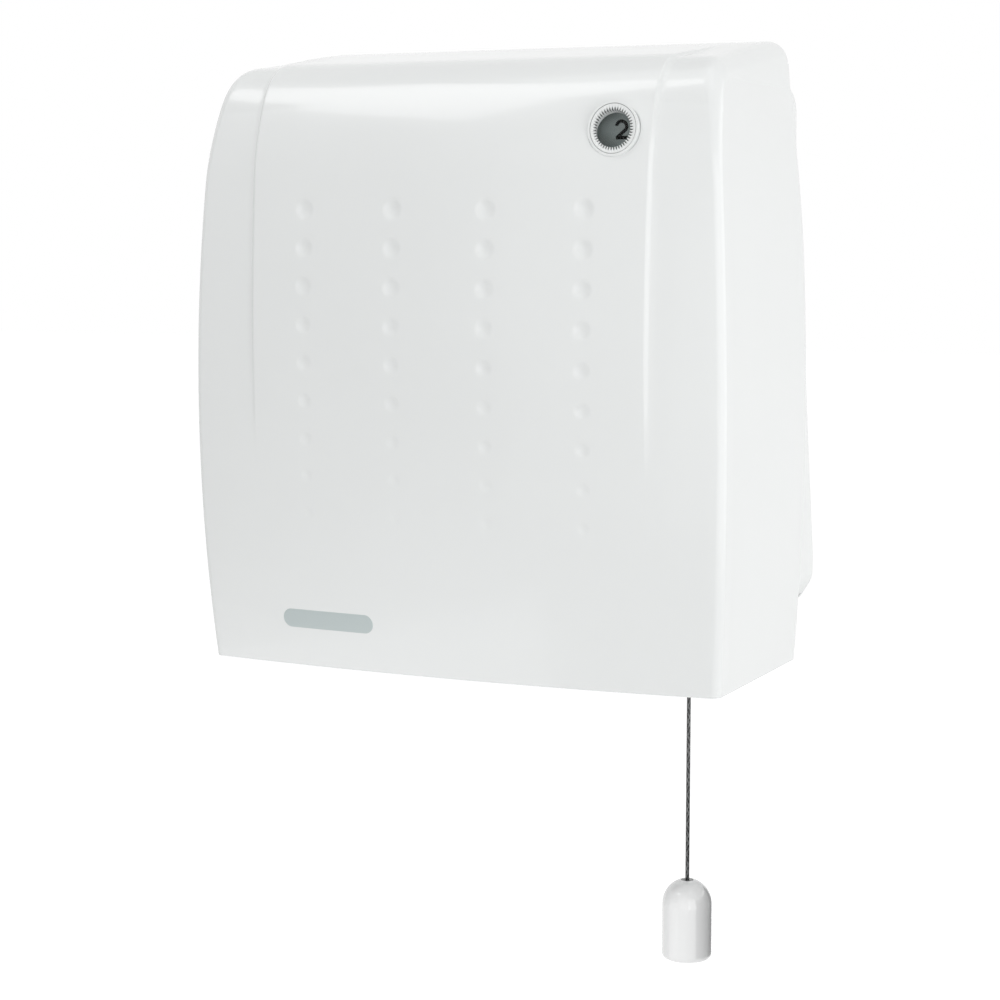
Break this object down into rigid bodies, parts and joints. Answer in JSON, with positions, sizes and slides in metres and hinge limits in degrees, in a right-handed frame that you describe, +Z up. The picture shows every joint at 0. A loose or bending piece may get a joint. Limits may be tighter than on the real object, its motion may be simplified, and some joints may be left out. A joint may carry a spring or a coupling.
{
  "type": "wall fan heater",
  "caption": "Wall-hung downflow fan heater with a moulded curved cover, round dial window, pull cord with knob, cross-flow fan, heating ribbons and louvred outlet below",
  "frame": {"origin": "centre of the four wall holes, on the wall plane at the back of the back shell", "axes": "+X to the right seen from the front, +Y into the wall, +Z up; the front faces -Y"},
  "size_m": [0.2788, 0.1528, 0.455],
  "materials": {
    "gloss_white": "glossy white moulded plastic",
    "matt_white": "fine-grained white moulded plastic",
    "knob_white": "glossy white moulded plastic",
    "clear_window": "clear moulded window",
    "dark_plastic": "dark grey heat-resisting plastic",
    "black_plastic": "black moulded plastic",
    "dial_grey": "grey plastic disc with printed numbers",
    "cord": "dark braided cord",
    "steel": "plated steel",
    "lamination": "stacked steel laminations",
    "sheet": "zinc-coated sheet steel",
    "zinc": "die-cast zinc alloy",
    "brass": "stamped brass",
    "copper": "enamelled copper wire",
    "ribbon": "corrugated resistance ribbon",
    "mica": "pressed mica board",
    "rubber": "black rubber",
    "wire": "insulated wire"
  },
  "bodies": {
    "case": {"front_cover": "gloss_white", "window_bezel": "gloss_white", "window_lens": "clear_window", "back_shell": "matt_white", "outlet_grille": "dark_plastic", "cord_guide": "gloss_white", "return_spring": "steel", "detent_spring": "steel", "switch_housing": "black_plastic", "switch_lid": "matt_white", "contact_blades": "brass", "motor_core": "lamination", "motor_winding": "copper", "motor_bracket": "zinc", "end_bearing": "brass", "bearing_bush": "rubber", "air_duct": "sheet", "duct_tongue": "sheet", "heater_frame": "mica", "heater_coils": "ribbon", "thermal_cutout": "black_plastic", "thermal_fuse": "matt_white", "terminal_block": "matt_white", "cable_grommet": "rubber", "cable_clamp": "matt_white", "wire_loom": "wire", "cover_screws": "steel", "duct_screws": "steel", "switch_screws": "steel", "clamp_screws": "steel"},
    "cord": {"pull_cord": "cord", "pull_knob": "knob_white", "cord_ferrule": "steel"},
    "lever": {"pull_lever": "zinc", "pawl": "steel", "pawl_pin": "steel"},
    "dial": {"dial_disc": "dial_grey", "dial_shaft": "steel", "ratchet_wheel": "brass", "switch_cam": "matt_white"},
    "fan_rotor": {"impeller": "black_plastic", "fan_shaft": "steel", "motor_rotor": "zinc"}
  },
  "joints": [
    {"name": "cord_pull", "type": "slide", "parent": "case", "child": "cord", "axis": [0, 0, -1], "range_m": [0, 0.0288], "stiffness_N_per_m": 120, "springref_m": -0.03},
    {"name": "lever_swing", "type": "hinge", "parent": "case", "child": "lever", "pos_m": [0.0684, -0.061, 0.11], "axis": [0, 1, 0], "range_deg": [0, 60], "deforming": ["return_spring"]},
    {"name": "dial_turn", "type": "hinge", "parent": "case", "child": "dial", "pos_m": [0.0684, -0.1, 0.11], "axis": [0, 1, 0], "range_deg": [0, 60], "deforming": ["detent_spring"]},
    {"name": "fan_spin", "type": "hinge", "parent": "case", "child": "fan_rotor", "pos_m": [0, -0.055, 0.026], "axis": [1, 0, 0], "continuous": true}
  ],
  "couplings": [
    {"joint": "lever_swing", "follows": "cord_pull", "rad_per_m": 36.276},
    {"joint": "dial_turn", "follows": "cord_pull", "rad_per_m": 36.276}
  ]
}
